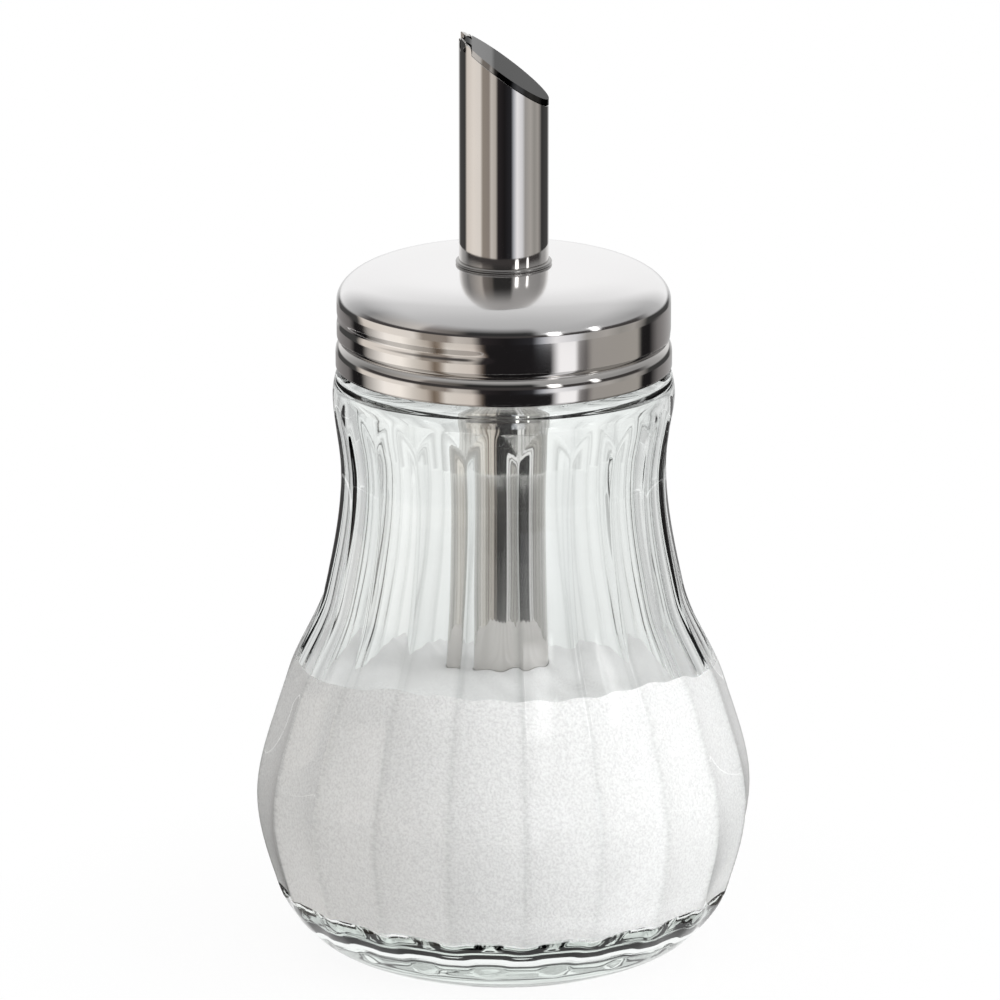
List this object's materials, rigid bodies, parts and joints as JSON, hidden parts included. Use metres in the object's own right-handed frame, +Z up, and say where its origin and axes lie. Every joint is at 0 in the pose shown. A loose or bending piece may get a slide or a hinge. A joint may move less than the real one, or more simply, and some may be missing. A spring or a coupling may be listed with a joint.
{
  "type": "sugar dispenser with flap",
  "caption": "Pear-shaped fluted glass sugar jar with a domed steel screw cap, a slanted pouring tube through it and a small hinged flap closing the tube's mouth.",
  "frame": {"origin": "centre of the jar's foot ring, on the surface it stands on", "axes": "+Z up along the jar's axis; -X towards the high tip of the slanted mouth, where the flap is hinged; -Y towards the viewer in the picture"},
  "size_m": [0.0806, 0.0806, 0.1523],
  "materials": {
    "jar_glass": "clear",
    "seal": "matt",
    "cap_steel": "satin dome, polished band",
    "tube_steel": "polished",
    "flap_steel": "polished"
  },
  "bodies": {
    "jar": {"glass_jar": "jar_glass"},
    "seal": {"sealing_ring": "seal"},
    "cap": {"cap_shell": "cap_steel", "pour_tube": "tube_steel", "tube_collar": "tube_steel", "lock_ring": "tube_steel", "flap_pin": "flap_steel"},
    "flap": {"flap": "flap_steel"}
  },
  "joints": [
    {"name": "cap_lift", "type": "slide", "parent": "jar", "child": "seal", "axis": [0, 0, 1], "range_m": [0, 0.004]},
    {"name": "cap_turn", "type": "hinge", "parent": "seal", "child": "cap", "pos_m": [0, 0, 0.1], "axis": [0, 0, 1], "range_deg": [0, 360]},
    {"name": "flap_swing", "type": "hinge", "parent": "cap", "child": "flap", "pos_m": [-0.00605, 0, 0.15055], "axis": [0, -1, 0], "range_deg": [0, 60]}
  ],
  "couplings": [
    {"joint": "cap_lift", "follows": "cap_turn", "m_per_rad": 0.00063662}
  ]
}
